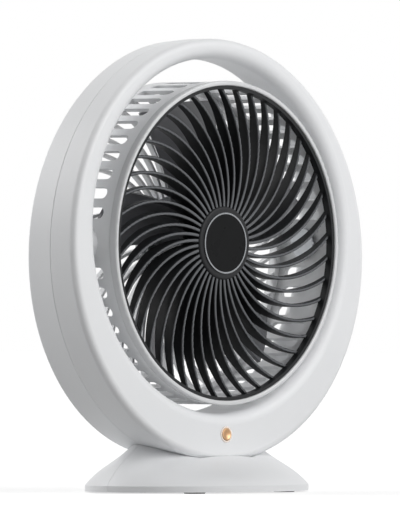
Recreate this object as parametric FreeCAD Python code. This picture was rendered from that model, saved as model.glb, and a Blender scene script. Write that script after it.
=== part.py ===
import FreeCAD, Part
import math
import os

# A desk fan: a tilting drum with an axial fan hangs in a standing ring on an oval base.
# Millimetres, +Z up, front towards -Y, origin under the middle of the base.

# Ring
ring_radius = 97.6
ring_taper = 1.1
ring_band = 15.6
ring_bottom_z = 14.5
ring_front_depth = 15.4
ring_rear_depth = 15.4
ring_lean = 2.15
ring_rear_lean = 2.1
ring_wall = 2.5
ring_face_wall = 3.0
ring_edge_round = 3.0
ring_rear_round = 1.2
seam_chamfer = 0.2
opening_rise = 6.4
opening_wall = 3.0
opening_front_round = 5.5
opening_rear_round = 6.0

# Head
head_drop = 3.3
drum_gap = 7.4
drum_wall = 1.8
drum_front = 17.6
drum_rear = 17.5
slot_count = 50
slot_width = 5.4
slot_front = 10.5
slot_rear = 11.0
slot_land = 0.5
pivot_pad_degrees = 9.0
bezel_proud = 0.4
bezel_depth = 2.4
bezel_skirt = 2.0
bezel_skirt_wall = 0.8
bezel_round = 0.8

# Front grille
grille_ring_wall = 1.5
grille_ring_front = 19.2
grille_ring_rear = 15.5
rib_count = 45
rib_thickness = 1.5
rib_bend_share = 0.715
rib_turn = 72.0
rib_front = 17.0
rib_rear = 9.5
rib_rim_rear = 14.8
rib_taper_share = 0.6
rib_nose_round = 0.5
hub_radius = 16.9
hub_front = 17.8
hub_skin = 2.2
hub_round = 1.0
trim_radius = 14.1
trim_width = 0.7
trim_height = 0.6
badge_height = 0.35

# Rear grille
rear_grille_lip = 2.8
rear_grille_front = 15.0
rear_grille_back = 19.5
rear_rib_count = 44
rear_rib_thickness = 1.4
rear_rib_depth = 3.0
rear_rib_set_back = 0.5
rear_rib_root = 1.0
rear_hub_radius = 22.0
rear_hub_thickness = 3.5

# Motor and impeller
shaft_radius = 1.5
shaft_front = 6.6
bearing_radius = 4.0
bearing_width = 4.0
bearing_front_face = 3.5
bearing_rear_face = 10.0
bearing_shoulder = 0.6
post_radius = 6.2
post_front = 3.8
motor_plate_radius = 20.0
motor_plate_thickness = 2.5
stator_radius = 12.6
stator_front = 1.5
stator_rear = 5.0
stator_slots = 9
stator_slot_radius = 1.4
stator_gate = 0.8
winding_height = 1.4
winding_inset = 0.8
magnet_gap = 0.4
magnet_thickness = 2.1
magnet_front = 3.0
magnet_rear = 6.0
yoke_thickness = 1.0
yoke_front = 5.3
yoke_rear = 8.5
motor_board_thickness = 1.2
clip_thickness = 0.6
clip_radius = 3.0
clip_groove = 0.4
clip_mouth = 1.4
impeller_skin = 1.6
impeller_skirt = 1.2
impeller_rear = 9.5
blade_count = 5
blade_rest_angle = 15.0
blade_tip_gap = 6.9
blade_thickness = 1.6
blade_middle = 2.5
blade_root_chord = 21.0
blade_tip_chord = 38.0
blade_root_pitch = 44.0
blade_tip_pitch = 24.0
blade_sweep = 16.0
blade_stations = 4
blade_overrun = 4.0

# Pivots
pin_radius = 4.0
pin_head_radius = 7.0
pin_head_height = 1.5
pin_slot_width = 1.2
pin_end_gap = 1.0
pivot_boss_root = 0.3
pivot_boss_radius = 8.0
pivot_boss_height = 3.3
washer_radius = 7.5
washer_thickness = 1.5
bush_radius = 6.0
bush_flange_radius = 8.5
bush_flange = 2.0
bush_length = 11.8
pivot_block_half = 9.0

# Base
base_half_width = 60.0
base_half_depth = 43.0
base_band = 3.5
base_shoulder_height = 11.0
base_shoulder_side_in = 6.5
base_shoulder_front_in = 10.5
base_shoulder_back = 0.5
base_neck_height = 15.5
base_neck_side_in = 12.0
base_neck_front_in = 20.0
base_neck_back = 1.1
base_top_height = 25.0
base_top_side_in = 25.0
base_top_front_in = 31.0
base_top_back = 1.5
base_seam = 0.15
base_wall = 2.0
base_lift = 0.6
plate_thickness = 2.0
ballast_side_in = 26.0
ballast_front_in = 23.0
ballast_thickness = 4.0
foot_radius = 5.0
foot_height = 1.4
foot_round = 0.4
foot_side_in = 30.0
foot_front_in = 16.0
base_screw_side_in = 19.0
base_screw_front_in = 27.0
saddle_screw_x = 22.0
saddle_screw_front_in = 6.7
saddle_screw_rear_in = 8.7
saddle_boss_drop = 1.8

# Button, boards and socket
button_rise = 1.35
button_radius = 2.9
button_proud = 0.6
button_dish_radius = 2.3
button_dish_depth = 0.4
button_flange_radius = 4.2
button_flange = 1.0
button_travel = 0.5
button_stem = 6.0
trim_ring_floor = 1.0
button_throat = 0.5
trim_ring_width = 0.7
trim_ring_proud = 0.3
switch_plunger = 0.6
switch_plunger_radius = 1.7
switch_height = 3.3
switch_side = 6.0
board_thickness = 1.6
board_width = 34.0
board_height = 12.0
board_post_radius = 2.2
board_post_x = 13.0
chip_width = 4.0
chip_tall = 5.0
chip_height = 1.2
socket_rise = 0.5
socket_width = 8.9
socket_tall = 3.3
socket_length = 7.3
socket_shell = 0.3
socket_recess = 0.4
tongue_width = 6.1
tongue_thickness = 0.7
tongue_set_back = 1.0
power_board_width = 20.0
power_board_length = 12.0
power_rib_x = 7.0
power_rib = 2.0

# Fasteners
screw_radius = 1.0
screw_head_radius = 1.9
screw_head = 1.6
screw_cross_length = 2.2
screw_cross_width = 0.55
ring_screw_length = 18.0
grille_screw_length = 5.0
motor_screw_length = 4.5
base_screw_length = 8.0
saddle_screw_length = 11.0
board_screw_length = 5.0
boss_wall = 2.0
saddle_boss_radius = 3.5
pilot_spare = 0.5
saddle_boss_cap = 1.5
ring_screw_angles = (25.0, 155.0, -25.0, -155.0, -60.0, -120.0)
grille_screw_angles = (45.0, 135.0, 225.0, 315.0)
motor_screw_angles = (90.0, 210.0, 330.0)
motor_screw_circle = 16.5

# Clearances
fit_gap = 0.05
slip_gap = 0.1
running_gap = 0.03
saddle_gap = 0.15
thrust_gap = 0.1
reach = 150.0

# Places worked out from the sizes above
ring_centre_z = ring_bottom_z + ring_radius
ring_rear_radius = ring_radius - ring_taper
ring_slope = ring_taper / ring_rear_depth
opening_radius = ring_radius - ring_band
drum_radius = opening_radius - drum_gap
bezel_radius = drum_radius + bezel_proud
opening_z = ring_centre_z + opening_rise
lower_middle_z = 0.5 * (ring_bottom_z + opening_z - opening_radius)
head_z = opening_z - head_drop
drum_inner = drum_radius - drum_wall
grille_radius = drum_inner - slip_gap
rib_bend_radius = rib_bend_share * grille_radius
blade_radius = drum_inner - blade_tip_gap
yoke_radius = stator_radius + magnet_gap + magnet_thickness + slip_gap + yoke_thickness
impeller_hub_radius = yoke_radius + slip_gap + impeller_skirt
motor_plate_front = rear_grille_front - motor_plate_thickness
drum_pad_x = drum_radius + pivot_boss_height
bush_flange_x = drum_pad_x + washer_thickness + 2 * thrust_gap
bush_sleeve_x = bush_flange_x + bush_flange
pin_head_x = math.sqrt(drum_inner ** 2 - pin_head_radius ** 2) - slip_gap
grille_screw_circle = drum_inner - screw_radius - fit_gap - boss_wall + 0.5 * drum_wall
lean_radians = math.radians(ring_lean)
rear_lean_radians = math.radians(ring_rear_lean)
button_z = lower_middle_z + button_rise
button_y = -ring_front_depth - math.tan(lean_radians) * (ring_centre_z - button_z)
socket_height_z = lower_middle_z + socket_rise
base_screw_x = base_half_width - base_screw_side_in
base_screw_y = base_half_depth - base_screw_front_in
foot_x = base_half_width - foot_side_in
foot_y = base_half_depth - foot_front_in
saddle_screw_front = ring_front_depth - saddle_screw_front_in
saddle_screw_rear = ring_rear_depth - saddle_screw_rear_in
saddle_boss_z = ring_bottom_z - saddle_boss_drop


def vec(x, y, z):
    return FreeCAD.Vector(x, y, z)


axis_x = vec(1, 0, 0)
axis_y = vec(0, 1, 0)
axis_z = vec(0, 0, 1)
head_centre = vec(0, 0, head_z)
ring_centre = vec(0, 0, ring_centre_z)


# A round bar along one of the axes
def bar(radius, start, end):
    run = end - start
    return Part.makeCylinder(radius, run.Length, start, run)


# A round bar along Y about the head's axis
def head_bar(radius, y_start, y_end):
    return bar(radius, vec(0, y_start, head_z), vec(0, y_end, head_z))


def head_tube(outer, inner, y_start, y_end):
    return head_bar(outer, y_start, y_end).cut(head_bar(inner, y_start, y_end))


def box_between(low, high):
    size = high - low
    return Part.makeBox(size.x, size.y, size.z, low)


def turned(shape, degrees, centre, axis):
    copy = shape.copy()
    copy.rotate(centre, axis, degrees)
    return copy


# Copies turned about the head's axis, anticlockwise seen from the front
def round_head(shape, angles):
    return [turned(shape, -angle, head_centre, axis_y) for angle in angles]


# The left-hand twin of a right-hand shape
def mirrored(shape):
    return shape.mirror(vec(0, 0, 0), axis_x)


def even_angles(count):
    return [360.0 * step / count for step in range(count)]


# A pan-head screw whose head sits on the seat and whose shank runs along the direction
def screw(seat, direction, length, head_height):
    shank = Part.makeCylinder(screw_radius, length)
    head = Part.makeCylinder(screw_head_radius, head_height, vec(0, 0, -head_height))
    half_length = 0.5 * screw_cross_length
    half_width = 0.5 * screw_cross_width
    floor = -0.5 * head_height
    slot = box_between(vec(-half_length, -half_width, -head_height), vec(half_length, half_width, floor))
    cross = slot.fuse(turned(slot, 90.0, vec(0, 0, 0), axis_z))
    piece = shank.fuse(head).removeSplitter().cut(cross)
    piece.Placement = FreeCAD.Placement(seat, FreeCAD.Rotation(axis_z, direction))
    return piece


# Takes each tool out of the shape in turn
def drilled(shape, tools):
    for tool in tools:
        shape = shape.cut(tool)
    return shape


def edges_where(shape, test):
    return [edge for edge in shape.Edges if test(edge)]


# True when every sampled point of the edge passes the test
def along(edge, test):
    first, last = edge.ParameterRange
    points = [edge.valueAt(first + (last - first) * step / 4.0) for step in range(5)]
    return all(test(point) for point in points)


def near(value, target):
    return abs(value - target) < 0.01


def save(name, shape):
    shape.exportStep("parts/" + name + ".step")
    print(name, "solids", len(shape.Solids), "volume", round(shape.Volume, 1), "valid", shape.isValid())


# The half-space behind the leaning front face, set back by the inset
def behind_face(inset):
    corner = vec(-reach, -ring_front_depth + inset, ring_centre_z - reach)
    block = Part.makeBox(2 * reach, 2 * reach, 2 * reach, corner)
    return turned(block, -ring_lean, vec(0, -ring_front_depth, ring_centre_z), axis_x)


# The half-space ahead of the leaning rear face, drawn in by the inset
def ahead_of_back(inset):
    corner = vec(-reach, ring_rear_depth - inset - 2 * reach, ring_centre_z - reach)
    block = Part.makeBox(2 * reach, 2 * reach, 2 * reach, corner)
    return turned(block, ring_rear_lean, vec(0, ring_rear_depth, ring_centre_z), axis_x)


# Where the rear face is at a given height
def back_y(z):
    return ring_rear_depth + math.tan(rear_lean_radians) * (ring_centre_z - z)


def ring_disc_front(radius, inset):
    disc = bar(radius, vec(0, -reach, ring_centre_z), ring_centre)
    return disc.common(behind_face(inset))


def ring_disc_rear(shrink, inset):
    depth = 2 * ring_rear_depth
    radius = ring_radius - shrink
    disc = Part.makeCone(radius, radius - ring_slope * depth, depth, ring_centre, axis_y)
    return disc.common(ahead_of_back(inset))


def opening_bar(radius):
    return bar(radius, vec(0, -reach, opening_z), vec(0, reach, opening_z))


def off_axis(point, z):
    return math.hypot(point.x, point.z - z)


# Where the bosses that join the two ring halves stand, midway across the ring's hollow
def ring_boss_places():
    places = []
    for angle in ring_screw_angles:
        turn = math.radians(angle)
        side = opening_rise * math.cos(turn)
        inner = opening_rise * math.sin(turn) + math.sqrt((opening_radius + opening_wall) ** 2 - side ** 2)
        middle = 0.5 * (inner + ring_radius - ring_wall)
        places.append(vec(middle * math.cos(turn), 0, ring_centre_z + middle * math.sin(turn)))
    return places


# The block in each ring half that grips the pivot bush
def pivot_blocks(y_low, y_high):
    low_x = opening_radius + 0.5 * opening_wall
    high_x = bush_sleeve_x + bush_length
    right = box_between(vec(low_x, y_low, head_z - pivot_block_half),
                        vec(high_x, y_high, head_z + pivot_block_half))
    return [right, mirrored(right)]


def bush_bores():
    start = bush_flange_x - thrust_gap
    right = bar(bush_radius + fit_gap, vec(start, 0, head_z), vec(ring_radius - ring_wall, 0, head_z))
    seat = bar(bush_flange_radius + slip_gap, vec(start, 0, head_z), vec(bush_sleeve_x, 0, head_z))
    right = right.fuse(seat)
    return [right, mirrored(right)]


# Moves a shape drawn on a vertical face at the origin to the leaning front face at the button
def on_face(shape):
    copy = turned(shape, -ring_lean, vec(0, 0, 0), axis_x)
    copy.translate(vec(0, button_y, button_z))
    return copy


def face_bar(radius, y_start, y_end, x=0.0, z=0.0):
    return bar(radius, vec(x, y_start, z), vec(x, y_end, z))


# The two posts of the control board, level with the middle of the ring's lower part
def post_bars(radius, y_start, y_end):
    return [face_bar(radius, y_start, y_end, x, -button_rise) for x in (-board_post_x, board_post_x)]


button_stop = ring_face_wall + fit_gap
switch_face = button_stem + button_travel + slip_gap
board_face = switch_face + switch_plunger + switch_height
trim_hole = button_radius + slip_gap + trim_ring_width


def saddle_bars(radius, y, low, top):
    return [bar(radius, vec(x, y, low), vec(x, y, top)) for x in (-saddle_screw_x, saddle_screw_x)]


def saddle_boss(y, top):
    return saddle_bars(saddle_boss_radius, y, saddle_boss_z, top)


def saddle_holes(y):
    top = saddle_boss_z + saddle_screw_length + fit_gap
    return saddle_bars(screw_radius + fit_gap, y, 0.0, top)


saddle_boss_top = saddle_boss_z + saddle_screw_length + saddle_boss_cap


def make_ring_front():
    outer = ring_disc_front(ring_radius, 0.0).cut(opening_bar(opening_radius))
    face_outer = edges_where(
        outer, lambda e: along(e, lambda p: near(off_axis(p, ring_centre_z), ring_radius) and p.y < -1.0))
    outer = outer.makeFillet(ring_edge_round, face_outer)
    face_inner = edges_where(
        outer, lambda e: along(e, lambda p: near(off_axis(p, opening_z), opening_radius) and p.y < -1.0))
    outer = outer.makeFillet(opening_front_round, face_inner)
    seam = edges_where(
        outer, lambda e: along(e, lambda p: near(off_axis(p, ring_centre_z), ring_radius) and near(p.y, 0.0)))
    outer = outer.makeChamfer(seam_chamfer, seam)
    hollow = ring_disc_front(ring_radius - ring_wall, ring_face_wall)
    hollow = hollow.cut(opening_bar(opening_radius + opening_wall))
    shell = outer.cut(hollow)
    bosses = [bar(screw_radius + boss_wall, vec(p.x, -reach, p.z), p) for p in ring_boss_places()]
    bosses += saddle_boss(-saddle_screw_front, saddle_boss_top)
    bosses += pivot_blocks(-pivot_block_half, 0.0)
    bosses += [on_face(post) for post in post_bars(board_post_radius, 0.5 * ring_face_wall, board_face)]
    within = ring_disc_front(ring_radius - 0.5 * ring_wall, 0.5 * ring_face_wall)
    within = within.cut(opening_bar(opening_radius + 0.5 * opening_wall))
    shell = shell.multiFuse([boss.common(within) for boss in bosses])
    pilot = ring_screw_length - ring_rear_depth + screw_head + ring_wall
    holes = [bar(screw_radius + fit_gap, vec(p.x, -pilot - pilot_spare, p.z), p) for p in ring_boss_places()]
    post_pilot = board_face + board_thickness - board_screw_length - pilot_spare
    holes += [on_face(post) for post in post_bars(screw_radius + fit_gap, post_pilot, board_face)]
    holes.append(on_face(face_bar(trim_hole + fit_gap, -ring_face_wall, ring_face_wall - trim_ring_floor)))
    holes.append(on_face(face_bar(button_radius + button_throat, -ring_face_wall, 2 * ring_face_wall)))
    holes += saddle_holes(-saddle_screw_front)
    return drilled(shell, holes + bush_bores())


def socket_box(grow, y_start, y_end):
    half_width = 0.5 * socket_width + grow
    half_tall = 0.5 * socket_tall + grow
    side = half_width - half_tall
    middle_z = socket_height_z
    core = box_between(vec(-side, y_start, middle_z - half_tall), vec(side, y_end, middle_z + half_tall))
    ends = [bar(half_tall, vec(x, y_start, middle_z), vec(x, y_end, middle_z)) for x in (-side, side)]
    return core.multiFuse(ends).removeSplitter()


socket_mouth = back_y(socket_height_z) - socket_recess
socket_back = socket_mouth - socket_length
power_board_top = socket_height_z - 0.5 * socket_tall
power_board_bottom = power_board_top - board_thickness
power_board_end = back_y(socket_height_z) - ring_wall - 4 * slip_gap


def make_ring_rear():
    outer = ring_disc_rear(0.0, 0.0).cut(opening_bar(opening_radius))
    back_outer = edges_where(
        outer, lambda e: along(e, lambda p: near(off_axis(p, ring_centre_z), ring_radius - ring_slope * p.y)
                               and near(p.y, back_y(p.z))))
    outer = outer.makeFillet(ring_rear_round, back_outer)
    back_inner = edges_where(
        outer, lambda e: along(e, lambda p: near(off_axis(p, opening_z), opening_radius)
                               and near(p.y, back_y(p.z))))
    outer = outer.makeFillet(opening_rear_round, back_inner)
    seam = edges_where(
        outer, lambda e: along(e, lambda p: near(off_axis(p, ring_centre_z), ring_radius) and near(p.y, 0.0)))
    outer = outer.makeChamfer(seam_chamfer, seam)
    hollow = ring_disc_rear(ring_wall, ring_wall)
    hollow = hollow.cut(opening_bar(opening_radius + opening_wall))
    shell = outer.cut(hollow)
    bosses = [bar(screw_head_radius + boss_wall, p, vec(p.x, reach, p.z)) for p in ring_boss_places()]
    bosses += saddle_boss(saddle_screw_rear, saddle_boss_top)
    bosses += pivot_blocks(0.0, pivot_block_half)
    rib_low = ring_centre_z - ring_rear_radius
    for x in (-power_rib_x, power_rib_x):
        low = vec(x - 0.5 * power_rib, power_board_end - power_board_length, rib_low)
        bosses.append(box_between(low, vec(x + 0.5 * power_rib, power_board_end, power_board_bottom)))
    within = ring_disc_rear(0.5 * ring_wall, 0.5 * ring_wall)
    within = within.cut(opening_bar(opening_radius + 0.5 * opening_wall))
    shell = shell.multiFuse([boss.common(within) for boss in bosses])
    holes = saddle_holes(saddle_screw_rear) + [socket_box(slip_gap, socket_back, reach)]
    for p in ring_boss_places():
        seat = vec(p.x, ring_screw_seat, p.z)
        holes.append(bar(screw_radius + fit_gap, p, seat))
        holes.append(bar(screw_head_radius + slip_gap, seat, vec(p.x, reach, p.z)))
    return drilled(shell, holes + bush_bores())


ring_screw_seat = ring_rear_depth - screw_head - ring_wall


def make_ring_screws():
    seats = [vec(p.x, ring_screw_seat, p.z) for p in ring_boss_places()]
    return Part.makeCompound([screw(seat, vec(0, -1, 0), ring_screw_length, screw_head) for seat in seats])


def ellipse_face(half_width, half_depth, back, z):
    if half_width >= half_depth:
        curve = Part.Ellipse(vec(0, back, z), half_width, half_depth)
    else:
        curve = Part.Ellipse(vec(0, back + half_depth, z), vec(half_width, back, z), vec(0, back, z))
    return Part.Wire([curve.toShape()])


# The oval base, drawn in by the inset for its hollow
def base_form(inset):
    bottom = ellipse_face(base_half_width - inset, base_half_depth - inset, 0.0, base_lift)
    band = Part.Face(bottom).extrude(vec(0, 0, base_band - base_lift))
    half_width = base_half_width - inset
    half_depth = base_half_depth - inset
    levels = [
        ellipse_face(half_width, half_depth, 0.0, base_band),
        ellipse_face(half_width - base_shoulder_side_in, half_depth - base_shoulder_front_in,
                     base_shoulder_back, base_shoulder_height - 0.5 * inset),
        ellipse_face(half_width - base_neck_side_in, half_depth - base_neck_front_in,
                     base_neck_back, base_neck_height - 0.75 * inset),
        ellipse_face(half_width - base_top_side_in, half_depth - base_top_front_in,
                     base_top_back, base_top_height - inset),
    ]
    return band.fuse(Part.makeLoft(levels, True)).removeSplitter()


# What the ring takes out of the base
def saddle_form(grow):
    front = bar(ring_radius + saddle_gap + grow, vec(0, -reach, ring_centre_z), ring_centre)
    front = front.common(behind_face(-saddle_gap - grow))
    rear = ring_disc_rear(-saddle_gap - grow, -saddle_gap - grow)
    return front.fuse(rear)


def make_base_shells():
    outer = base_form(0.0).cut(saddle_form(0.0))
    hollow = base_form(base_wall).cut(saddle_form(base_wall))
    plate_edge = ellipse_face(base_half_width - base_wall, base_half_depth - base_wall, 0.0, base_lift)
    hollow = hollow.fuse(Part.Face(plate_edge).extrude(vec(0, 0, plate_thickness)))
    shell = outer.cut(hollow)
    bosses = []
    for x in (-base_screw_x, base_screw_x):
        for y in (-base_screw_y, base_screw_y):
            bosses.append(bar(screw_radius + boss_wall, vec(x, y, plate_top), vec(x, y, base_top_height)))
    bosses += saddle_boss(-saddle_screw_front, base_top_height)
    bosses += saddle_boss(saddle_screw_rear, base_top_height)
    within = base_form(0.5 * base_wall).cut(saddle_form(0.5 * base_wall))
    shell = shell.multiFuse([boss.common(within) for boss in bosses])
    holes = [bar(screw_radius + fit_gap, vec(x, y, 0), vec(x, y, base_lift + base_screw_length + fit_gap))
             for x in (-base_screw_x, base_screw_x) for y in (-base_screw_y, base_screw_y)]
    holes += saddle_holes(-saddle_screw_front) + saddle_holes(saddle_screw_rear)
    shell = drilled(shell, holes)
    half_seam = 0.5 * base_seam
    front = shell.common(box_between(vec(-reach, -reach, -reach), vec(reach, -half_seam, reach)))
    rear = shell.common(box_between(vec(-reach, half_seam, -reach), vec(reach, reach, reach)))
    return front, rear


plate_top = base_lift + plate_thickness


def foot_places():
    return [vec(x, y, 0) for x in (-foot_x, foot_x) for y in (-foot_y, foot_y)]


def base_screw_places():
    return [vec(x, y, base_lift + 0.5 * plate_thickness)
            for x in (-base_screw_x, base_screw_x) for y in (-base_screw_y, base_screw_y)]


def make_bottom_plate():
    rim = base_wall + slip_gap
    outline = ellipse_face(base_half_width - rim, base_half_depth - rim, 0.0, base_lift)
    plate = Part.Face(outline).extrude(vec(0, 0, plate_thickness))
    cuts = [bar(foot_radius + slip_gap, vec(p.x, p.y, 0), vec(p.x, p.y, foot_height)) for p in foot_places()]
    for seat in base_screw_places():
        cuts.append(bar(screw_head_radius + slip_gap, vec(seat.x, seat.y, 0), seat))
        cuts.append(bar(screw_radius + fit_gap, vec(seat.x, seat.y, 0), vec(seat.x, seat.y, reach)))
    return plate.cut(cuts)


def make_ballast():
    half_width = base_half_width - ballast_side_in
    half_depth = base_half_depth - ballast_front_in
    outline = ellipse_face(half_width, half_depth, 0.0, plate_top)
    return Part.Face(outline).extrude(vec(0, 0, ballast_thickness))


def make_feet():
    feet = [bar(foot_radius, p, p + axis_z * foot_height) for p in foot_places()]
    return Part.makeCompound([foot.makeFillet(foot_round, [foot.Edges[2]]) for foot in feet])


def make_base_screws():
    head_height = 0.5 * plate_thickness
    length = base_screw_length - head_height
    return Part.makeCompound([screw(seat, axis_z, length, head_height) for seat in base_screw_places()])


def make_saddle_screws():
    screws = []
    for x in (-saddle_screw_x, saddle_screw_x):
        for y in (-saddle_screw_front, saddle_screw_rear):
            screws.append(screw(vec(x, y, saddle_boss_z), axis_z, saddle_screw_length, screw_head))
    return Part.makeCompound(screws)


def make_button_trim():
    ring = face_bar(trim_hole, -trim_ring_proud, ring_face_wall - trim_ring_floor)
    return on_face(ring.cut(face_bar(button_radius + slip_gap, -trim_ring_proud, ring_face_wall)))


def make_button():
    cap = face_bar(button_radius, -button_proud, button_stem)
    front_edge = edges_where(cap, lambda e: along(e, lambda p: near(p.y, -button_proud)))
    cap = cap.makeFillet(0.5 * button_proud, front_edge)
    dish_bend = (button_dish_radius ** 2 + button_dish_depth ** 2) / (2 * button_dish_depth)
    cap = cap.cut(Part.makeSphere(dish_bend, vec(0, button_dish_depth - button_proud - dish_bend, 0)))
    flange = face_bar(button_flange_radius, button_stop, button_stop + button_flange)
    return on_face(cap.fuse(flange).removeSplitter())


def make_switch():
    half = 0.5 * switch_side
    body_front = switch_face + switch_plunger
    body = box_between(vec(-half, body_front, -half), vec(half, board_face, half))
    plunger = face_bar(switch_plunger_radius, switch_face, body_front + 0.5 * switch_height)
    return on_face(body.fuse(plunger).removeSplitter())


def make_control_board():
    half_width = 0.5 * board_width
    half_height = 0.5 * board_height
    board = box_between(vec(-half_width, board_face, -half_height - button_rise),
                        vec(half_width, board_face + board_thickness, half_height - button_rise))
    board = drilled(board, post_bars(screw_radius + fit_gap, 0.0, reach))
    chip_low = vec(-0.5 * chip_width, board_face + board_thickness, -0.5 * chip_tall - button_rise)
    chip = box_between(chip_low, chip_low + vec(chip_width, chip_height, chip_tall))
    return on_face(board.fuse(chip).removeSplitter())


def make_board_screws():
    seat_y = board_face + board_thickness
    screws = [screw(vec(x, seat_y, -button_rise), vec(0, -1, 0), board_screw_length, screw_head)
              for x in (-board_post_x, board_post_x)]
    return Part.makeCompound([on_face(piece) for piece in screws])


def make_socket():
    shell = socket_box(0.0, socket_back, socket_mouth)
    mouth = socket_box(-socket_shell, socket_back + 2 * socket_shell, socket_mouth)
    half_width = 0.5 * tongue_width
    half_tall = 0.5 * tongue_thickness
    tongue = box_between(vec(-half_width, socket_back + socket_shell, socket_height_z - half_tall),
                         vec(half_width, socket_mouth - tongue_set_back, socket_height_z + half_tall))
    return shell.cut(mouth).fuse(tongue).removeSplitter()


def make_power_board():
    half = 0.5 * power_board_width
    return box_between(vec(-half, power_board_end - power_board_length, power_board_bottom),
                       vec(half, power_board_end, power_board_top))


# The right-hand pivot pieces; the left ones are their mirror images
def make_bush():
    flange = bar(bush_flange_radius, vec(bush_flange_x, 0, head_z), vec(bush_sleeve_x, 0, head_z))
    end_x = bush_sleeve_x + bush_length
    sleeve = bar(bush_radius, vec(bush_flange_x, 0, head_z), vec(end_x, 0, head_z))
    bore = bar(pin_radius + running_gap, vec(bush_flange_x, 0, head_z), vec(end_x, 0, head_z))
    return flange.fuse(sleeve).removeSplitter().cut(bore)


def make_pin():
    end_x = bush_sleeve_x + bush_length - pin_end_gap
    head = bar(pin_head_radius, vec(pin_head_x - pin_head_height, 0, head_z), vec(pin_head_x, 0, head_z))
    shank = bar(pin_radius, vec(pin_head_x, 0, head_z), vec(end_x, 0, head_z))
    slot_low = vec(pin_head_x - pin_head_height, -pin_head_radius, head_z - 0.5 * pin_slot_width)
    slot = box_between(slot_low, slot_low + vec(0.5 * pin_head_height, 2 * pin_head_radius, pin_slot_width))
    return head.fuse(shank).removeSplitter().cut(slot)


def make_washers():
    start = drum_pad_x + thrust_gap
    end = start + washer_thickness
    ring = bar(washer_radius, vec(start, 0, head_z), vec(end, 0, head_z))
    ring = ring.cut(bar(pin_radius + slip_gap, vec(start, 0, head_z), vec(end, 0, head_z)))
    return Part.makeCompound([ring, mirrored(ring)])


# Slots lie evenly round the drum, leaving a plain pad at each pivot
def slot_angles():
    pitch = 360.0 / slot_count
    angles = [pitch * (step + 0.5) for step in range(slot_count)]
    return [angle for angle in angles if min(angle % 180.0, 180.0 - angle % 180.0) > pivot_pad_degrees]


def make_drum():
    drum = head_tube(drum_radius, drum_inner, -drum_front, drum_rear)
    skirt = bezel_skirt + slip_gap
    drum = drum.cut(head_tube(drum_radius + 1.0, drum_radius - bezel_skirt_wall - slip_gap,
                              -drum_front, -drum_front + skirt))
    half = 0.5 * slot_width
    low_x = drum_inner - 1.0
    high_x = drum_radius + 1.0
    front_y = -slot_front + half
    rear_y = slot_rear - half
    slot = box_between(vec(low_x, front_y, head_z - half), vec(high_x, rear_y, head_z + half))
    ends = [bar(half, vec(low_x, y, head_z), vec(high_x, y, head_z)) for y in (front_y, rear_y)]
    slot = slot.multiFuse(ends).removeSplitter()
    drum = drum.cut(round_head(slot, slot_angles()))
    boss = bar(pivot_boss_radius, vec(drum_inner + pivot_boss_root, 0, head_z), vec(drum_pad_x, 0, head_z))
    screw_boss = bar(screw_radius + boss_wall, vec(grille_screw_circle, slot_rear + slot_land, head_z),
                     vec(grille_screw_circle, rear_grille_front, head_z))
    screw_boss = screw_boss.common(head_bar(drum_radius, -reach, reach))
    screw_bosses = round_head(screw_boss, grille_screw_angles)
    drum = drum.multiFuse([boss, mirrored(boss)] + screw_bosses).removeSplitter()
    pilot = bar(screw_radius + fit_gap, vec(grille_screw_circle, slot_rear, head_z),
                vec(grille_screw_circle, rear_grille_front, head_z))
    holes = round_head(pilot, grille_screw_angles)
    holes.append(bar(pin_radius + fit_gap, vec(-drum_pad_x, 0, head_z), vec(drum_pad_x, 0, head_z)))
    return drum.cut(holes)


def make_bezel():
    ring = head_tube(bezel_radius, drum_inner, -drum_front - bezel_depth, -drum_front)
    front_edges = edges_where(
        ring, lambda e: along(e, lambda p: near(p.y, -drum_front - bezel_depth)) and e.Length > bezel_radius)
    ring = ring.makeFillet(bezel_round, front_edges)
    skirt = head_tube(drum_radius, drum_radius - bezel_skirt_wall, -drum_front, -drum_front + bezel_skirt)
    return ring.fuse(skirt).removeSplitter()


# One curved rib lying in the X-Z plane, leaving the start radius along X and bending upwards
def curved_rib(start, end, thickness, y_front, y_rear, nose):
    centre = vec(start, y_front, head_z + rib_bend_radius)
    turn = math.radians(rib_turn)

    def point(radius, angle):
        return centre + vec(radius * math.sin(angle), 0, -radius * math.cos(angle))

    outer = rib_bend_radius + 0.5 * thickness
    inner = rib_bend_radius - 0.5 * thickness
    sides = [
        Part.Arc(point(outer, 0.0), point(outer, 0.5 * turn), point(outer, turn)).toShape(),
        Part.LineSegment(point(outer, turn), point(inner, turn)).toShape(),
        Part.Arc(point(inner, turn), point(inner, 0.5 * turn), point(inner, 0.0)).toShape(),
        Part.LineSegment(point(inner, 0.0), point(outer, 0.0)).toShape(),
    ]
    rib = Part.Face(Part.Wire(sides)).extrude(vec(0, y_rear - y_front, 0))
    if nose > 0:
        front_arcs = edges_where(
            rib, lambda e: e.Length > 2 * thickness and along(e, lambda p: near(p.y, y_front)))
        rib = rib.makeFillet(nose, front_arcs)
    return rib.common(head_bar(end, y_front - 1.0, y_rear + 1.0))


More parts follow.
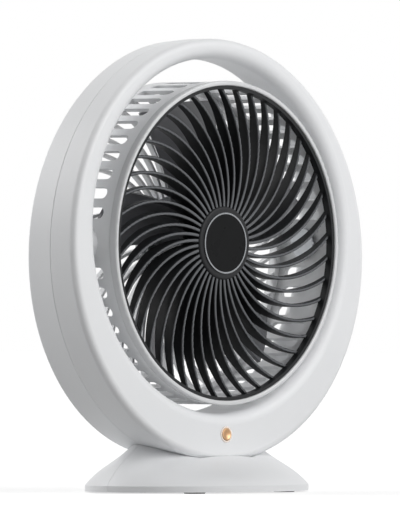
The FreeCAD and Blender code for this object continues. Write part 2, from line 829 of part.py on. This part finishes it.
# The ribs are deep at the hub and shallow where they meet the ring
def make_front_grille():
    ring = head_tube(grille_radius, grille_radius - grille_ring_wall, -grille_ring_front, -grille_ring_rear)
    hub = head_bar(hub_radius, -hub_front, -rib_rear)
    front_edge = edges_where(hub, lambda e: along(e, lambda p: near(p.y, -hub_front)))
    hub = hub.makeFillet(hub_round, front_edge)
    hub = hub.cut(head_bar(hub_radius - hub_skin, -hub_front + hub_skin, -rib_rear))
    rib = curved_rib(hub_radius - 0.5 * hub_skin, grille_radius - 0.5 * grille_ring_wall, rib_thickness,
                     -rib_front, -rib_rear, rib_nose_round)
    keep = Part.makeCone(grille_radius, rib_taper_share * grille_radius, rib_rim_rear - rib_rear,
                         vec(0, -rib_rim_rear, head_z), axis_y)
    rib = rib.cut(head_bar(grille_radius, -rib_rim_rear, -rib_rear).cut(keep))
    ribs = round_head(rib, even_angles(rib_count))
    return ring.multiFuse([hub] + ribs)


def make_hub_trim():
    return head_tube(trim_radius, trim_radius - trim_width, -hub_front - trim_height, -hub_front)


def make_badge():
    return head_bar(trim_radius - trim_width - fit_gap, -hub_front - badge_height, -hub_front)


def make_rear_grille():
    ring = head_tube(grille_radius, grille_radius - rear_grille_lip, rear_grille_front, rear_grille_back)
    flange = head_tube(drum_radius, grille_radius - 0.5 * rear_grille_lip, drum_rear, rear_grille_back)
    hub = head_bar(rear_hub_radius, rear_grille_front, rear_grille_front + rear_hub_thickness)
    rib_start = rear_grille_front + rear_rib_set_back
    rib = curved_rib(rear_hub_radius - rear_rib_root, grille_radius - 0.5 * rear_grille_lip, rear_rib_thickness,
                     rib_start, rib_start + rear_rib_depth, 0.0)
    ribs = round_head(rib, even_angles(rear_rib_count))
    lug = bar(screw_head_radius + boss_wall, vec(grille_screw_circle, rear_grille_front, head_z),
              vec(grille_screw_circle, rear_grille_back, head_z)).common(head_bar(grille_radius, -reach, reach))
    lugs = round_head(lug, grille_screw_angles)
    grille = ring.multiFuse([flange, hub] + ribs + lugs)
    seat = vec(grille_screw_circle, rear_grille_back - screw_head, head_z)
    hole = bar(screw_radius + fit_gap, vec(grille_screw_circle, rear_grille_front, head_z), seat)
    head_room = bar(screw_head_radius + slip_gap, seat, vec(grille_screw_circle, reach, head_z))
    holes = round_head(hole, grille_screw_angles) + round_head(head_room, grille_screw_angles)
    pilot = bar(screw_radius + fit_gap, vec(motor_screw_circle, 0, head_z),
                vec(motor_screw_circle, motor_plate_front + motor_screw_length + fit_gap, head_z))
    return grille.cut(holes + round_head(pilot, motor_screw_angles))


def make_grille_screws():
    seat = vec(grille_screw_circle, rear_grille_back - screw_head, head_z)
    piece = screw(seat, vec(0, -1, 0), grille_screw_length, screw_head)
    return Part.makeCompound(round_head(piece, grille_screw_angles))


def make_motor_base():
    plate = head_bar(motor_plate_radius, motor_plate_front, rear_grille_front)
    post = head_bar(post_radius, -post_front, motor_plate_front)
    base = plate.fuse(post).removeSplitter()
    base = base.cut(head_bar(bearing_radius - bearing_shoulder, -post_front, rear_grille_front))
    base = base.cut(head_bar(bearing_radius + fit_gap, -post_front, -bearing_front_face + bearing_width))
    base = base.cut(head_bar(bearing_radius + fit_gap, bearing_rear_face - bearing_width, rear_grille_front))
    hole = bar(screw_radius + fit_gap, vec(motor_screw_circle, 0, head_z),
               vec(motor_screw_circle, rear_grille_front, head_z))
    return base.cut(round_head(hole, motor_screw_angles))


def make_motor_screws():
    seat = vec(motor_screw_circle, motor_plate_front, head_z)
    piece = screw(seat, axis_y, motor_screw_length, screw_head)
    return Part.makeCompound(round_head(piece, motor_screw_angles))


def make_stator():
    core = head_tube(stator_radius, post_radius + fit_gap, -stator_front, stator_rear)
    reach_in = stator_radius - 1.5 * stator_slot_radius
    slot = bar(stator_slot_radius, vec(reach_in, -stator_front, head_z), vec(reach_in, stator_rear, head_z))
    half_gate = 0.5 * stator_gate
    gate = box_between(vec(reach_in, -stator_front, head_z - half_gate),
                       vec(2 * stator_radius, stator_rear, head_z + half_gate))
    return core.cut(round_head(slot.fuse(gate), even_angles(stator_slots)))


def make_windings():
    outer = stator_radius - winding_inset
    inner = post_radius + winding_inset
    front = head_tube(outer, inner, -stator_front - winding_height, -stator_front)
    rear = head_tube(outer, inner, stator_rear, stator_rear + winding_height)
    return Part.makeCompound([front, rear])


def make_motor_board():
    front = stator_rear + winding_height
    return head_tube(stator_radius + magnet_gap, post_radius + slip_gap, front, front + motor_board_thickness)


def make_bearing(face):
    return head_tube(bearing_radius, shaft_radius + running_gap, face - bearing_width, face)


def make_shaft():
    clip_start = bearing_rear_face + slip_gap
    clip_end = clip_start + clip_thickness
    shaft = head_bar(shaft_radius, -shaft_front, clip_end + clip_thickness)
    return shaft.cut(head_tube(2 * shaft_radius, shaft_radius - clip_groove, clip_start, clip_end))


def make_clip():
    clip_start = bearing_rear_face + slip_gap
    disc = head_tube(clip_radius, shaft_radius - clip_groove + fit_gap, clip_start + 0.25 * slip_gap,
                     clip_start + clip_thickness - 0.25 * slip_gap)
    half_mouth = 0.5 * clip_mouth
    gap = box_between(vec(0, clip_start, head_z - half_mouth),
                      vec(2 * clip_radius, clip_start + clip_thickness, head_z + half_mouth))
    return disc.cut(gap)


def make_yoke():
    cup = head_bar(yoke_radius, -yoke_front, yoke_rear)
    cup = cup.cut(head_bar(yoke_radius - yoke_thickness, -yoke_front + yoke_thickness, yoke_rear))
    return cup.cut(head_bar(shaft_radius + fit_gap, -reach, reach))


def make_magnet():
    outer = yoke_radius - yoke_thickness - 0.5 * slip_gap
    return head_tube(outer, outer - magnet_thickness, -magnet_front, magnet_rear)


# One blade: flat sections set at a falling pitch from root to tip, swept round as they go out
def make_blade():
    sections = []
    for step in range(blade_stations):
        share = step / (blade_stations - 1.0)
        radius = yoke_radius + 0.7 * impeller_skirt + share * (blade_radius + blade_overrun - yoke_radius)
        chord = blade_root_chord + share * (blade_tip_chord - blade_root_chord)
        pitch = math.radians(blade_root_pitch + share * (blade_tip_pitch - blade_root_pitch))
        sweep = -blade_sweep * share
        along_chord = vec(0, math.sin(pitch), math.cos(pitch)) * (0.5 * chord)
        across = vec(0, math.cos(pitch), -math.sin(pitch)) * (0.5 * blade_thickness)
        middle = vec(radius, blade_middle, head_z)
        corners = [middle - along_chord - across, middle + along_chord - across,
                   middle + along_chord + across, middle - along_chord + across]
        section = Part.makePolygon(corners + corners[:1])
        section.rotate(head_centre, axis_y, sweep)
        sections.append(section)
    blade = Part.makeLoft(sections, True, False)
    outside = head_tube(blade_radius, impeller_hub_radius - 0.5 * impeller_skirt, -reach, reach)
    return blade.common(outside)


def make_impeller():
    front = -yoke_front - slip_gap - impeller_skin
    cup = head_bar(impeller_hub_radius, front, impeller_rear)
    cup = cup.makeFillet(hub_round, edges_where(cup, lambda e: along(e, lambda p: near(p.y, front))))
    cup = cup.cut(head_bar(yoke_radius + slip_gap, front + impeller_skin, impeller_rear))
    cup = cup.cut(head_bar(shaft_radius + fit_gap, -shaft_front - fit_gap, impeller_rear))
    angles = [blade_rest_angle + angle for angle in even_angles(blade_count)]
    return cup.multiFuse(round_head(make_blade(), angles))


os.makedirs("parts", exist_ok=True)

save("ring_front_shell", make_ring_front())
save("ring_rear_shell", make_ring_rear())
save("ring_screws", make_ring_screws())
base_front, base_rear = make_base_shells()
save("base_front_shell", base_front)
save("base_rear_shell", base_rear)
save("base_bottom_plate", make_bottom_plate())
save("ballast_weight", make_ballast())
save("rubber_feet", make_feet())
save("base_screws", make_base_screws())
save("saddle_screws", make_saddle_screws())
save("button_trim_ring", make_button_trim())
save("power_button", make_button())
save("tact_switch", make_switch())
save("control_board", make_control_board())
save("board_screws", make_board_screws())
save("usb_socket", make_socket())
save("power_board", make_power_board())
save("pivot_bush_right", make_bush())
save("pivot_bush_left", mirrored(make_bush()))
save("pivot_pin_right", make_pin())
save("pivot_pin_left", mirrored(make_pin()))
save("friction_washers", make_washers())
save("drum_shell", make_drum())
save("front_bezel", make_bezel())
save("front_grille", make_front_grille())
save("hub_trim_ring", make_hub_trim())
save("hub_badge", make_badge())
save("rear_grille", make_rear_grille())
save("grille_screws", make_grille_screws())
save("motor_base", make_motor_base())
save("motor_screws", make_motor_screws())
save("stator_core", make_stator())
save("stator_windings", make_windings())
save("motor_board", make_motor_board())
save("front_bearing", make_bearing(-bearing_front_face + bearing_width))
save("rear_bearing", make_bearing(bearing_rear_face))
save("motor_shaft", make_shaft())
save("shaft_clip", make_clip())
save("rotor_yoke", make_yoke())
save("rotor_magnet", make_magnet())
save("impeller", make_impeller())
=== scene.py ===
import math
import bpy
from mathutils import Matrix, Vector


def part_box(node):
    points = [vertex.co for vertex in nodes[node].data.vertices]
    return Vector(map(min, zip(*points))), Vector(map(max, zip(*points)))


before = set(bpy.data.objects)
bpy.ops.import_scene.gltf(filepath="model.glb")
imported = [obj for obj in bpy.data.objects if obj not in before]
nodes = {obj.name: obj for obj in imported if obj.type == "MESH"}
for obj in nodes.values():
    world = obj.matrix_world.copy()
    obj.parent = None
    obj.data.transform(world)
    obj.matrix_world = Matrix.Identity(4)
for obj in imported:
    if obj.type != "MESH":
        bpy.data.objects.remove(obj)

scene = bpy.context.scene
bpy.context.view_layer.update()   # the solids' box, before anything is added
print("frame loaded:", len(nodes), "nodes")


# sRGB hex to the linear colour that the sockets take
def linear(hexColour):
    channels = [int(hexColour[i:i + 2], 16) / 255 for i in (1, 3, 5)]
    return tuple(c / 12.92 if c <= 0.04045 else ((c + 0.055) / 1.055) ** 2.4 for c in channels) + (1.0,)


# scale of a pattern that repeats once in so many millimetres
def perMm(millimetres):
    return 1000.0 / millimetres


# the middle of a node at rest
def middleOf(node):
    low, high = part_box(node)
    return (low + high) / 2


# one node with its settings and links; words are properties or sockets, numbers are socket places
def addNode(tree, kind, settings=None, links=None):
    node = tree.nodes.new(kind)
    for key, value in (settings or {}).items():
        if isinstance(key, str) and hasattr(node, key):
            setattr(node, key, value)
        else:
            node.inputs[key].default_value = value
    for key, source in (links or {}).items():
        tree.links.new(source, node.inputs[key])
    return node


# an empty material with its shader wired to the output
def startFinish(name, shader):
    finish = bpy.data.materials.new(name)
    finish.use_nodes = True
    tree = finish.node_tree
    tree.nodes.clear()
    body = addNode(tree, "ShaderNodeBsdfPrincipled", shader)
    addNode(tree, "ShaderNodeOutputMaterial", {}, {"Surface": body.outputs[0]})
    place = addNode(tree, "ShaderNodeTexCoord").outputs["Object"]
    return finish, tree, body, place


# tone and gloss that go from one end to the other as the pattern goes from 0 to 1
def toneAndGloss(tree, body, look, pattern):
    dark, pale = look["tones"]
    low, high = look["roughness"]
    tone = addNode(tree, "ShaderNodeMix", {"data_type": "RGBA", 6: linear(dark), 7: linear(pale)},
                   {0: pattern})
    gloss = addNode(tree, "ShaderNodeMapRange", {"To Min": low, "To Max": high}, {"Value": pattern})
    tree.links.new(tone.outputs[2], body.inputs["Base Color"])
    tree.links.new(gloss.outputs[0], body.inputs["Roughness"])
    return tone


# octaves of the two noises below
noiseDetail = {"drift": 3.0, "grain": 2.0}


# what most surfaces share: tone and gloss that drift slowly together, and a fine grain
def surfaceGrain(tree, body, place, look):
    drift = addNode(tree, "ShaderNodeTexNoise", {
        "Scale": perMm(look["driftMm"]), "Detail": noiseDetail["drift"]}, {"Vector": place})
    tone = toneAndGloss(tree, body, look, drift.outputs["Fac"])
    grain = addNode(tree, "ShaderNodeTexNoise", {
        "Scale": perMm(look["grainMm"]), "Detail": noiseDetail["grain"]}, {"Vector": place})
    bump = addNode(tree, "ShaderNodeBump", {
        "Strength": look["grainStrength"], "Distance": look["grainDeepMm"] / 1000},
        {"Height": grain.outputs["Fac"]})
    tree.links.new(bump.outputs[0], body.inputs["Normal"])
    return tone


# distance from an axis along Y through the point, in metres
def awayFromAxis(tree, place, point):
    offset = addNode(tree, "ShaderNodeVectorMath", {"operation": "SUBTRACT", 1: point}, {0: place})
    flat = addNode(tree, "ShaderNodeVectorMath", {"operation": "MULTIPLY", 1: (1.0, 0.0, 1.0)},
                   {0: offset.outputs[0]})
    away = addNode(tree, "ShaderNodeVectorMath", {"operation": "LENGTH"}, {0: flat.outputs[0]})
    return away.outputs["Value"]


# rings about that axis, so many millimetres apart, from -1 to 1
def ringsAbout(tree, place, point, apartMm):
    phase = addNode(tree, "ShaderNodeMath", {"operation": "MULTIPLY", 1: 2 * math.pi * perMm(apartMm)},
                    {0: awayFromAxis(tree, place, point)})
    return addNode(tree, "ShaderNodeMath", {"operation": "SINE"}, {0: phase.outputs[0]}).outputs[0]


# a metal off the lathe: fine rings about its middle, and tone and gloss that drift slowly
def latheSkin(tree, body, place, look, middle):
    drift = addNode(tree, "ShaderNodeTexNoise", {"Scale": perMm(look["driftMm"])}, {"Vector": place})
    toneAndGloss(tree, body, look, drift.outputs["Fac"])
    rings = ringsAbout(tree, place, middle, look["ringMm"])
    bump = addNode(tree, "ShaderNodeBump", {
        "Strength": look["ringStrength"], "Distance": look["ringDeepMm"] / 1000}, {"Height": rings})
    tree.links.new(bump.outputs[0], body.inputs["Normal"])


# tone and relief that follow the same stripes, which go from 0 to 1
def stripedSkin(tree, body, look, stripes):
    dark, pale = look["tones"]
    tone = addNode(tree, "ShaderNodeMix", {"data_type": "RGBA", 6: linear(dark), 7: linear(pale)},
                   {0: stripes})
    bump = addNode(tree, "ShaderNodeBump", {
        "Strength": look["stripeStrength"], "Distance": look["stripeDeepMm"] / 1000}, {"Height": stripes})
    tree.links.new(tone.outputs[2], body.inputs["Base Color"])
    tree.links.new(bump.outputs[0], body.inputs["Normal"])


# 1 for rays from the camera, a mirror or glass, and 0 for the rest
def seenRays(tree):
    light = addNode(tree, "ShaderNodeLightPath")
    seen = light.outputs["Is Camera Ray"]
    for kind in ("Is Glossy Ray", "Is Transmission Ray"):
        either = addNode(tree, "ShaderNodeMath", {"operation": "MAXIMUM"}, {0: seen, 1: light.outputs[kind]})
        seen = either.outputs[0]
    return seen


headMiddle = middleOf("front_bezel")
buttonMiddle = middleOf("power_button")

# ABS, injection moulded in a fine spark-eroded tool: satin white with soft highlights, never quite even
whiteShell = {
    "tones": ("#e6e7e9", "#ecedee"), "driftMm": 45.0, "roughness": (0.40, 0.47),
    "grainMm": 0.5, "grainStrength": 0.18, "grainDeepMm": 0.02,   # real grain near 0.1 mm, drawn coarser
}
shellAbs, tree, body, place = startFinish("abs_spark_eroded_white", {"IOR": 1.54})
surfaceGrain(tree, body, place, whiteShell)

# ABS, moulded in a polished tool: the thin rim catches a clean bright line
rim = {
    "tones": ("#d6d7d9", "#dcddde"), "driftMm": 30.0, "roughness": (0.16, 0.22),
    "grainMm": 1.2, "grainStrength": 0.05, "grainDeepMm": 0.02,
}
rimAbs, tree, body, place = startFinish("abs_polished_white", {
    "IOR": 1.54, "Coat Weight": 0.3, "Coat Roughness": 0.08})
surfaceGrain(tree, body, place, rim)

# polypropylene, moulded black: deep matt fins; their narrow front-facing noses carry a painted highlight, a
# paler colour standing in for the light they catch
grille = {
    "tones": ("#17181a", "#1e1f21"), "driftMm": 18.0, "roughness": (0.42, 0.52),
    "grainMm": 0.4, "grainStrength": 0.15, "grainDeepMm": 0.02,
    "nose": "#616366", "noseFacing": (-0.35, -0.9), "hubMm": 16.95, "edgeMm": 70.6,
}
grillePp, tree, body, place = startFinish("polypropylene_moulded_black", {
    "IOR": 1.49, "Specular IOR Level": 0.2})
tone = surfaceGrain(tree, body, place, grille)
# painted highlight: rib noses facing the front, between hub and rim, are coloured paler to stand in for the
# light on them
normal = addNode(tree, "ShaderNodeTexCoord").outputs["Normal"]
facing = addNode(tree, "ShaderNodeSeparateXYZ", {}, {0: normal})
nose = addNode(tree, "ShaderNodeMapRange", {
    "From Min": grille["noseFacing"][0], "From Max": grille["noseFacing"][1]}, {"Value": facing.outputs["Y"]})
away = awayFromAxis(tree, place, headMiddle)
pastHub = addNode(tree, "ShaderNodeMath", {"operation": "GREATER_THAN", 1: grille["hubMm"] / 1000},
                  {0: away})
insideEdge = addNode(tree, "ShaderNodeMath", {"operation": "LESS_THAN", 1: grille["edgeMm"] / 1000},
                     {0: away})
onRib = addNode(tree, "ShaderNodeMath", {"operation": "MULTIPLY"},
                {0: pastHub.outputs[0], 1: insideEdge.outputs[0]})
noseMask = addNode(tree, "ShaderNodeMath", {"operation": "MULTIPLY"},
                   {0: nose.outputs[0], 1: onRib.outputs[0]})
noseTone = addNode(tree, "ShaderNodeMix", {"data_type": "RGBA", 7: linear(grille["nose"])},
                   {0: noseMask.outputs[0], 6: tone.outputs[2]})
tree.links.new(noseTone.outputs[2], body.inputs["Base Color"])

# acrylic, cast sheet and laser cut: a flat dark disc under a clear gloss
badge = {
    "tones": ("#0e0f10", "#141516"), "driftMm": 9.0, "roughness": (0.24, 0.32),
    "grainMm": 0.8, "grainStrength": 0.04, "grainDeepMm": 0.01,
}
badgeAcrylic, tree, body, place = startFinish("acrylic_cast_black", {
    "IOR": 1.49, "Specular IOR Level": 0.08})
surfaceGrain(tree, body, place, badge)

# nickel plate on a turned ring: cool silver with fine lathe lines
trim = {
    "tones": ("#808285", "#909295"), "driftMm": 6.0, "roughness": (0.2, 0.3),
    "ringMm": 0.35, "ringStrength": 0.2, "ringDeepMm": 0.01,   # real lines near 0.1 mm, drawn coarser
}
trimNickel, tree, body, place = startFinish("nickel_plated_turned", {"Metallic": 1.0})
latheSkin(tree, body, place, trim, headMiddle)

# polypropylene with a mineral filler, moulded: dark grey, with a broad semi-gloss sheen and faint flow marks
blades = {
    "tones": ("#55565a", "#66676b"), "driftMm": 14.0, "roughness": (0.3, 0.38),
    "grainMm": 2.5, "grainStrength": 0.06, "grainDeepMm": 0.05,
}
bladePp, tree, body, place = startFinish("polypropylene_semi_gloss_dark", {
    "IOR": 1.49, "Coat Weight": 1.0, "Coat Roughness": 0.32})
surfaceGrain(tree, body, place, blades)

# aluminium, spun on a lathe and copper anodised: warm metal with fine rings about its middle
button = {
    "tones": ("#ab8562", "#bd9a78"), "driftMm": 2.5, "roughness": (0.24, 0.34),
    "ringMm": 0.3, "ringStrength": 0.25, "ringDeepMm": 0.012,   # real rings near 0.1 mm, drawn coarser
}
buttonCopper, tree, body, place = startFinish("aluminium_spun_copper_anodised", {"Metallic": 1.0})
latheSkin(tree, body, place, button, buttonMiddle)

# finishes that need only tone, gloss and grain; colours in pairs, sizes in millimetres
plainFinishes = {
    # aluminium, turned and pale rose anodised: a warm silver rim
    "aluminium_turned_rose_anodised": {
        "tones": ("#d8cbc0", "#e0d5cb"), "driftMm": 3.0, "roughness": (0.22, 0.3),
        "grainMm": 0.6, "grainStrength": 0.08, "grainDeepMm": 0.01, "shader": {"Metallic": 1.0},
        "nodes": ["button_trim_ring"]},
    # silicone rubber, compression moulded: dull charcoal with a powdery bloom
    "rubber_moulded_charcoal": {
        "tones": ("#26282a", "#303234"), "driftMm": 4.0, "roughness": (0.74, 0.86),
        "grainMm": 0.5, "grainStrength": 0.3, "grainDeepMm": 0.04, "shader": {"IOR": 1.42},
        "nodes": ["rubber_feet"]},
    # mild steel, cold headed and zinc plated: a slightly blotchy cool grey
    "steel_zinc_plated": {
        "tones": ("#a9acb0", "#bcbfc2"), "driftMm": 2.0, "roughness": (0.28, 0.42),
        "grainMm": 0.5, "grainStrength": 0.15, "grainDeepMm": 0.02, "shader": {"Metallic": 1.0},
        "nodes": ["ring_screws", "base_screws", "saddle_screws", "board_screws", "grille_screws",
                  "motor_screws", "usb_socket", "pivot_pin_right", "pivot_pin_left", "motor_shaft",
                  "shaft_clip", "rotor_yoke"]},
    # zinc plate, sawn and tumbled: dull, mottled grey
    "zinc_tumbled": {
        "tones": ("#7d8083", "#8f9295"), "driftMm": 5.0, "roughness": (0.5, 0.64),
        "grainMm": 0.8, "grainStrength": 0.3, "grainDeepMm": 0.05, "shader": {"Metallic": 1.0},
        "nodes": ["ballast_weight"]},
    # aluminium, die cast: light grey with a fine pebbled skin
    "aluminium_die_cast": {
        "tones": ("#a3a6a9", "#b3b6b8"), "driftMm": 4.0, "roughness": (0.42, 0.54),
        "grainMm": 0.7, "grainStrength": 0.35, "grainDeepMm": 0.05, "shader": {"Metallic": 1.0},
        "nodes": ["motor_base"]},
    # bonded ferrite, pressed: dark and dry
    "ferrite_pressed": {
        "tones": ("#2b2b2d", "#363638"), "driftMm": 1.5, "roughness": (0.58, 0.7),
        "grainMm": 0.3, "grainStrength": 0.3, "grainDeepMm": 0.03, "shader": {"IOR": 2.0},
        "nodes": ["rotor_magnet"]},
    # glass-fibre board under green solder mask: glossy, with the weave just felt through it
    "glass_board_green_mask": {
        "tones": ("#17502f", "#226a3f"), "driftMm": 2.2, "roughness": (0.26, 0.36),
        "grainMm": 0.9, "grainStrength": 0.2, "grainDeepMm": 0.03,
        "shader": {"IOR": 1.55, "Coat Weight": 0.4},
        "nodes": ["control_board", "power_board", "motor_board"]},
    # nylon, moulded: plain black with a soft sheen
    "nylon_moulded_black": {
        "tones": ("#191a1b", "#222324"), "driftMm": 2.0, "roughness": (0.44, 0.54),
        "grainMm": 0.4, "grainStrength": 0.2, "grainDeepMm": 0.02, "shader": {"IOR": 1.53},
        "nodes": ["tact_switch"]},
    # acetal, turned from natural rod: waxy white
    "acetal_turned_natural": {
        "tones": ("#e2e2dc", "#ebebe6"), "driftMm": 5.0, "roughness": (0.32, 0.4),
        "grainMm": 0.6, "grainStrength": 0.1, "grainDeepMm": 0.02, "shader": {"IOR": 1.48},
        "nodes": ["pivot_bush_right", "pivot_bush_left", "front_bearing", "rear_bearing"]},
    # vulcanised fibre, punched from sheet: dry grey-brown, flecked
    "fibre_punched": {
        "tones": ("#5c544b", "#6f665b"), "driftMm": 1.2, "roughness": (0.7, 0.82),
        "grainMm": 0.5, "grainStrength": 0.35, "grainDeepMm": 0.04, "shader": {"IOR": 1.5},
        "nodes": ["friction_washers"]},
}
finishOf = {}
for name, look in plainFinishes.items():
    finish, tree, body, place = startFinish(name, look["shader"])
    surfaceGrain(tree, body, place, look)
    for node in look["nodes"]:
        finishOf[node] = finish

# silicon steel, stamped and stacked: dark sheets whose edges show as fine bands along the shaft
core = {
    "tones": ("#4a4c50", "#66686c"), "roughness": 0.45,
    "sheetMm": 0.5, "stripeStrength": 0.4, "stripeDeepMm": 0.05,
}
waveRadians = 20   # how far the wave texture turns in one unit of its scale
coreSteel, tree, body, place = startFinish("steel_stamped_laminations", {
    "Metallic": 1.0, "Roughness": core["roughness"]})
stack = addNode(tree, "ShaderNodeTexWave", {
    "bands_direction": "Y", "Scale": 2 * math.pi * perMm(core["sheetMm"]) / waveRadians}, {"Vector": place})
stripedSkin(tree, body, core, stack.outputs["Fac"])

# copper wire, drawn and enamelled, wound in close turns: red-gold threads under a clear amber gloss
winding = {
    "tones": ("#8a4a22", "#c47a45"), "roughness": 0.3,
    "wireMm": 0.4, "stripeStrength": 0.6, "stripeDeepMm": 0.1,
}
wireCopper, tree, body, place = startFinish("copper_enamelled_wound", {
    "Metallic": 1.0, "Roughness": winding["roughness"], "Coat Weight": 0.5, "Coat Roughness": 0.15})
turns = ringsAbout(tree, place, headMiddle, winding["wireMm"])
threads = addNode(tree, "ShaderNodeMapRange", {"From Min": -1.0}, {"Value": turns})
stripedSkin(tree, body, winding, threads.outputs[0])

shaped = {
    shellAbs: ["ring_front_shell", "ring_rear_shell", "base_front_shell", "base_rear_shell",
               "base_bottom_plate", "drum_shell", "rear_grille"],
    rimAbs: ["front_bezel"],
    grillePp: ["front_grille"],
    badgeAcrylic: ["hub_badge"],
    trimNickel: ["hub_trim_ring"],
    bladePp: ["impeller"],
    buttonCopper: ["power_button"],
    coreSteel: ["stator_core"],
    wireCopper: ["stator_windings"],
}
for finish, names in shaped.items():
    for name in names:
        finishOf[name] = finish
for name, node in nodes.items():
    node.data.materials.clear()
    node.data.materials.append(finishOf[name])
print("finishes:", len(set(finishOf.values())), "on", len(finishOf), "nodes")

# floor: plain and pale; what the camera and mirrors see of it is lifted to white, less near the fan,
# so that its shadow stays
floorLook = {"size": 12.0, "colour": "#b4b4b4", "lift": (0.70, 0.95), "liftReach": (0.2, 0.8)}   # metres
floorMesh = bpy.data.meshes.new("floor")
half = floorLook["size"] / 2
corners = [(-half, -half, 0), (half, -half, 0), (half, half, 0), (-half, half, 0)]
floorMesh.from_pydata(corners, [], [(0, 1, 2, 3)])
floor = bpy.data.objects.new("floor", floorMesh)
scene.collection.objects.link(floor)
paper = bpy.data.materials.new("paper_backdrop")
paper.use_nodes = True
tree = paper.node_tree
tree.nodes.clear()
spot = addNode(tree, "ShaderNodeTexCoord").outputs["Object"]
fromFan = addNode(tree, "ShaderNodeVectorMath", {"operation": "LENGTH"}, {0: spot})
raised = addNode(tree, "ShaderNodeMapRange", {
    "From Min": floorLook["liftReach"][0], "From Max": floorLook["liftReach"][1],
    "To Min": floorLook["lift"][0], "To Max": floorLook["lift"][1]}, {"Value": fromFan.outputs["Value"]})
lift = addNode(tree, "ShaderNodeMath", {"operation": "MULTIPLY"}, {0: seenRays(tree), 1: raised.outputs[0]})
sheet = addNode(tree, "ShaderNodeBsdfDiffuse", {"Color": linear(floorLook["colour"])})
glow = addNode(tree, "ShaderNodeEmission", {}, {"Strength": lift.outputs[0]})
both = addNode(tree, "ShaderNodeAddShader", {}, {0: sheet.outputs[0], 1: glow.outputs[0]})
addNode(tree, "ShaderNodeOutputMaterial", {}, {"Surface": both.outputs[0]})
floorMesh.materials.append(paper)

# world: a broad pale wall behind and to the left, dim elsewhere; white where the camera and mirrors look
worldLook = {
    "colour": "#ffffff", "dim": 0.04, "wall": 1.25, "seen": 1.0,
    "wallWay": (-0.25, 0.92, 0.3), "wallEdge": (0.45, 0.95),
}
world = bpy.data.worlds.new("studio")
scene.world = world
world.use_nodes = True
tree = world.node_tree
tree.nodes.clear()
way = addNode(tree, "ShaderNodeTexCoord").outputs["Generated"]
toWall = addNode(tree, "ShaderNodeVectorMath", {"operation": "DOT_PRODUCT", 1: worldLook["wallWay"]},
                 {0: way})
wall = addNode(tree, "ShaderNodeMapRange", {
    "From Min": worldLook["wallEdge"][0], "From Max": worldLook["wallEdge"][1],
    "To Min": worldLook["dim"], "To Max": worldLook["wall"]}, {"Value": toWall.outputs["Value"]})
strength = addNode(tree, "ShaderNodeMapRange", {"To Max": worldLook["seen"]},
                   {"Value": seenRays(tree), "To Min": wall.outputs[0]})
sky = addNode(tree, "ShaderNodeBackground", {"Color": linear(worldLook["colour"])},
              {"Strength": strength.outputs[0]})
addNode(tree, "ShaderNodeOutputWorld", {}, {"Surface": sky.outputs[0]})

# lamps: large soft boxes, places in metres from the fan's foot
lamps = {
    "keyBox": {"place": (0.4, -1.4, 0.95), "size": 1.6, "power": 28.0},
    "rimBox": {"place": (-0.75, 1.05, 0.86), "size": 0.9, "power": 7.8},
}
lampAim = Vector((0.0, 0.0, 0.11))   # near the fan's middle
for name, look in lamps.items():
    lampData = bpy.data.lights.new(name, "AREA")
    lampData.size = look["size"]
    lampData.energy = look["power"]
    lamp = bpy.data.objects.new(name, lampData)
    lamp.location = look["place"]
    lamp.rotation_euler = (lampAim - lamp.location).to_track_quat("-Z", "Y").to_euler()
    scene.collection.objects.link(lamp)
print("stage and lamps set")

# camera: level with the fan, from its front left
view = {"away": 6.0, "lens": 920.4, "sensorMm": 36.0, "azimuth": 46.5, "sideMm": 1.4, "heightMm": 110.4}
turn = math.radians(view["azimuth"])
back = Vector((-math.sin(turn), -math.cos(turn), 0.0))
right = Vector((math.cos(turn), -math.sin(turn), 0.0))
target = right * view["sideMm"] / 1000 + Vector((0, 0, view["heightMm"] / 1000))
cameraData = bpy.data.cameras.new("camera")
cameraData.lens = view["lens"]
cameraData.sensor_width = view["sensorMm"]
camera = bpy.data.objects.new("camera", cameraData)
camera.location = target + back * view["away"]
camera.rotation_euler = (-back).to_track_quat("-Z", "Y").to_euler()
scene.collection.objects.link(camera)
scene.camera = camera
scene.view_settings.view_transform = "Standard"
print("camera set")
